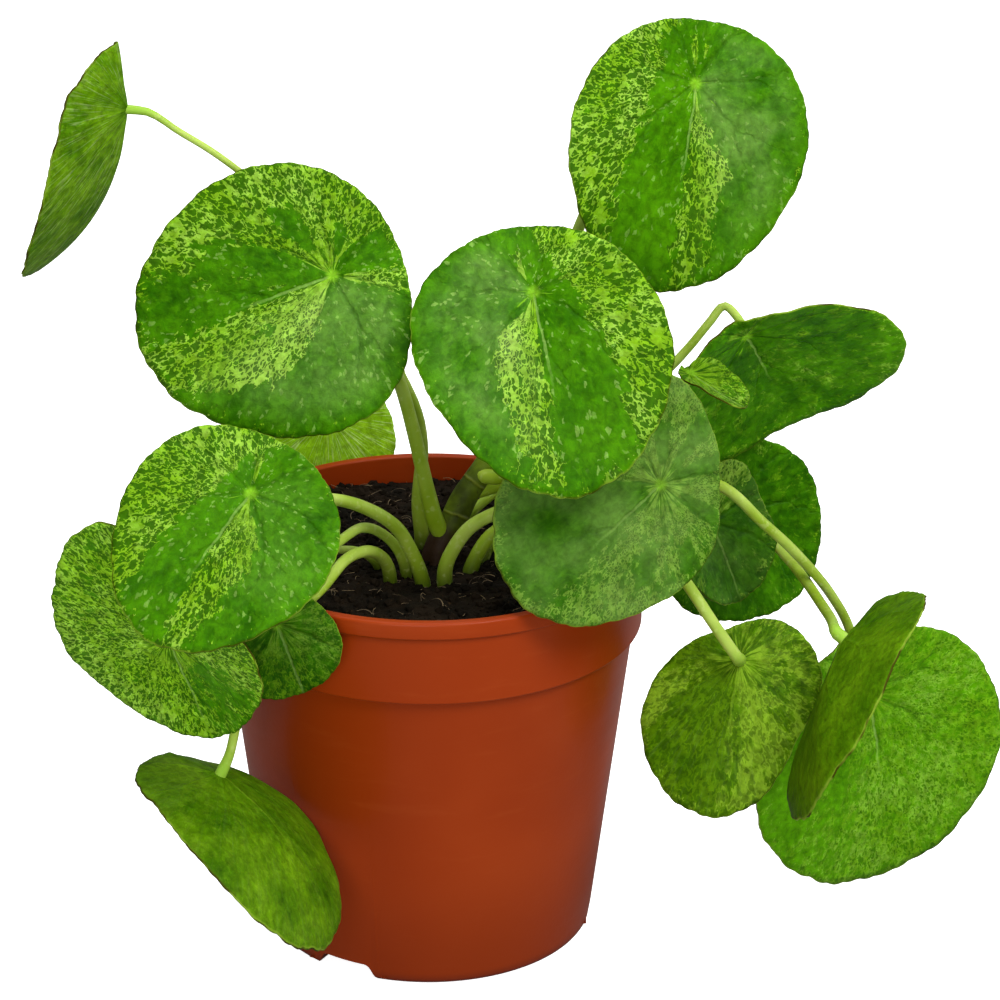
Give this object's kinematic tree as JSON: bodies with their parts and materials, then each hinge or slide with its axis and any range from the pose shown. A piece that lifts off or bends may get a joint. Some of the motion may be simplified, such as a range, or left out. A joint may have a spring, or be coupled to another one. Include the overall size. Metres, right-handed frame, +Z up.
{
  "type": "potted chinese money plant",
  "caption": "Variegated money plant with round green leaves on long stalks, rooted in soil in a terracotta-coloured plastic nursery pot.",
  "frame": {"origin": "middle of the pot's underside, on the surface that the pot stands on", "axes": "+Z up; the front of the plant, as in the picture, is -Y; +X is to the right seen from the front"},
  "size_m": [0.2764, 0.1776, 0.2599],
  "materials": {
    "pot": "satin",
    "soil": "matte",
    "stem": "matte",
    "stalk": "satin",
    "leaf": "satin"
  },
  "bodies": {
    "root": {"pot": "pot", "soil": "soil", "main_stem": "stem", "stalk_far_left": "stalk", "leaf_far_left": "leaf", "stalk_upper_left": "stalk", "leaf_upper_left": "leaf", "stalk_middle": "stalk", "leaf_middle": "leaf", "stalk_top_right": "stalk", "leaf_top_right": "leaf", "stalk_left": "stalk", "leaf_left": "leaf", "stalk_lower_left": "stalk", "leaf_lower_left": "leaf", "stalk_small_left": "stalk", "leaf_small_left": "leaf", "stalk_hanging_left": "stalk", "leaf_hanging_left": "leaf", "stalk_right": "stalk", "leaf_right": "leaf", "stalk_young": "stalk", "leaf_young": "leaf", "stalk_right_middle": "stalk", "leaf_right_middle": "leaf", "stalk_lower_right": "stalk", "leaf_lower_right": "leaf", "stalk_back_right": "stalk", "leaf_back_right": "leaf", "stalk_inner_right": "stalk", "leaf_inner_right": "leaf", "stalk_cupped_right": "stalk", "leaf_cupped_right": "leaf", "stalk_bottom_right": "stalk", "leaf_bottom_right": "leaf", "stalk_back_left": "stalk", "leaf_back_left": "leaf"}
  },
  "joints": []
}
